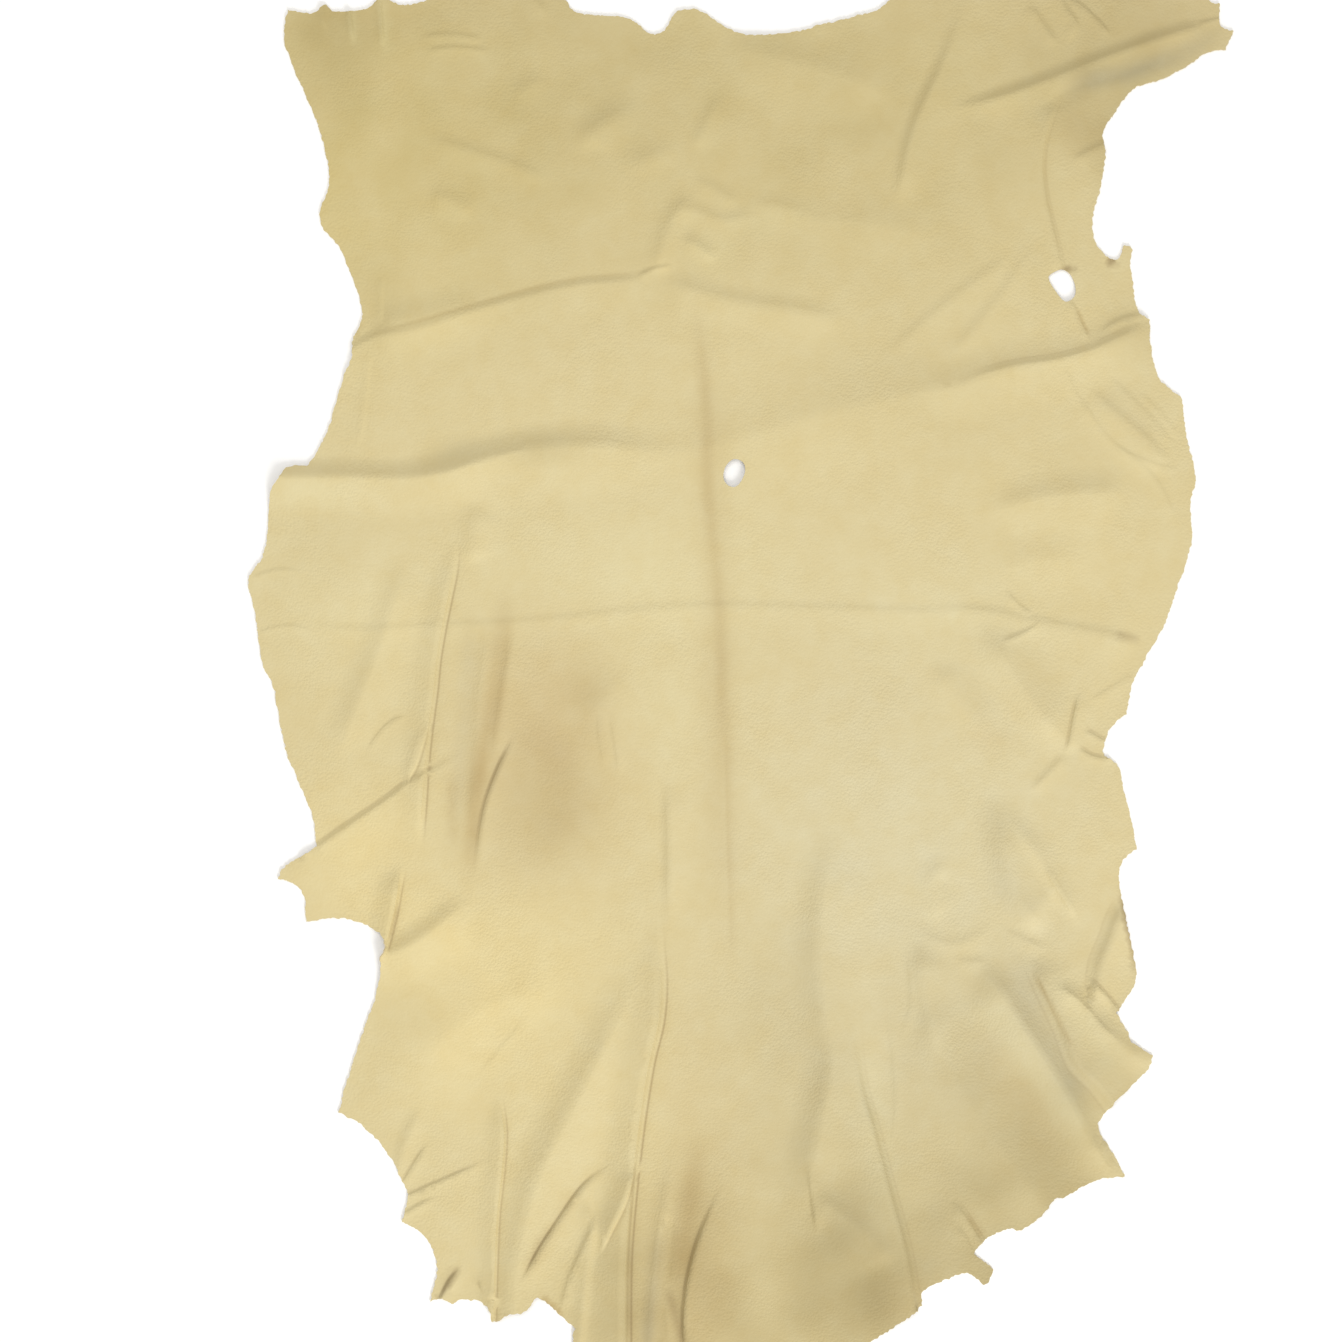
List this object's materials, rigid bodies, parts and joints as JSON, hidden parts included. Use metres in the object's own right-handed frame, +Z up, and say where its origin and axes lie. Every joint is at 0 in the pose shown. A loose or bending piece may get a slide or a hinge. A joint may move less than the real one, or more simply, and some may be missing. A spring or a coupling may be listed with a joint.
{
  "type": "leather hide",
  "caption": "Whole tanned leather hide, grain side up, laid out flat with natural creases, neck pleats, leg stubs, a ragged cut edge and small natural holes.",
  "frame": {"origin": "on the surface it lies on, under the middle of its overall width and length", "axes": "+X across the hide, +Y along the spine from neck to rump, +Z up from the surface to the grain side"},
  "size_m": [0.985, 1.417, 0.0184],
  "materials": {
    "leather": "soft matt full-grain leather with a fine pebbled grain, pale cream-gold, slightly darker along the spine and towards the neck"
  },
  "bodies": {
    "root": {"hide": "leather"}
  },
  "joints": []
}
